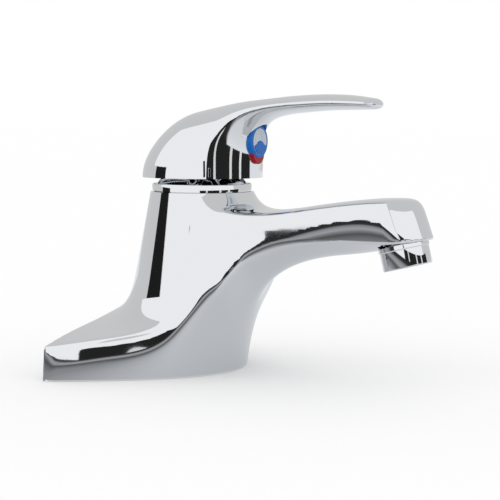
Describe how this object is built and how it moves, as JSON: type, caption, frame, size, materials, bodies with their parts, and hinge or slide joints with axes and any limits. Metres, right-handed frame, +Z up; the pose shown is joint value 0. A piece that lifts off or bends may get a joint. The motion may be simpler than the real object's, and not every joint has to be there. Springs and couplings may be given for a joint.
{
  "type": "bathroom mixer faucet",
  "caption": "Single-lever basin mixer with a swept-back two-hole base, an arched cast spout with an aerator, and a lift-and-turn lever over a ceramic cartridge.",
  "frame": {"origin": "on the deck face, z = 0, at the foot of the cartridge axis, on the plane of symmetry", "axes": "+Z up out of the deck, -Y towards the spout's outlet, +X along the base towards the cold inlet"},
  "size_m": [0.146, 0.1742, 0.14],
  "materials": {
    "chrome_casting": "polished chrome plate on brass",
    "chrome_trim": "polished chrome plate",
    "raw_brass": "machined brass",
    "steel": "turned stainless steel",
    "rubber": "black moulded rubber",
    "cartridge_plastic": "white moulded acetal",
    "guide_plastic": "dark grey moulded acetal",
    "limit_plastic": "red moulded plastic",
    "ceramic": "lapped alumina ceramic",
    "badge_pale": "pale glossy plastic",
    "badge_blue": "blue glossy plastic",
    "badge_red": "red glossy plastic",
    "aerator_plastic": "grey moulded plastic",
    "mesh": "fine stainless mesh"
  },
  "bodies": {
    "body": {"body_casting": "chrome_casting", "base_gasket": "rubber", "cartridge_base": "cartridge_plastic", "outer_port_seals": "rubber", "inner_port_seals": "rubber", "cartridge_seal_ring": "rubber", "fixed_ceramic_disc": "ceramic", "cartridge_housing": "cartridge_plastic", "hot_limit_ring": "limit_plastic", "cartridge_nut": "raw_brass", "cap_retaining_ring": "cartridge_plastic", "dome_cap": "chrome_trim", "aerator_housing": "chrome_trim", "aerator_insert": "aerator_plastic", "outlet_grid": "aerator_plastic", "aerator_diffuser": "aerator_plastic", "filter_screen": "mesh", "aerator_washer": "rubber"},
    "rotor": {"swivel_guide": "guide_plastic", "spindle_pin": "steel"},
    "lever": {"handle": "chrome_casting", "spindle": "raw_brass", "handle_grub_screw": "steel", "indicator_plug": "badge_pale", "indicator_blue_ring": "badge_blue", "indicator_blue_segment": "badge_blue", "indicator_red_segment": "badge_red"},
    "disc": {"moving_ceramic_disc": "ceramic", "disc_carrier": "guide_plastic"}
  },
  "joints": [
    {"name": "handle_turn", "type": "hinge", "parent": "body", "child": "rotor", "pos_m": [0, 0, 0.077], "axis": [0, 0, 1], "range_deg": [-50, 50]},
    {"name": "handle_lift", "type": "hinge", "parent": "rotor", "child": "lever", "pos_m": [0, 0, 0.077], "axis": [-1, 0, 0], "range_deg": [0, 22]},
    {"name": "disc_travel", "type": "slide", "parent": "rotor", "child": "disc", "axis": [0, -1, 0], "range_m": [0, 0.0031]}
  ],
  "couplings": [
    {"joint": "disc_travel", "follows": "handle_lift", "m_per_rad": 0.008}
  ]
}
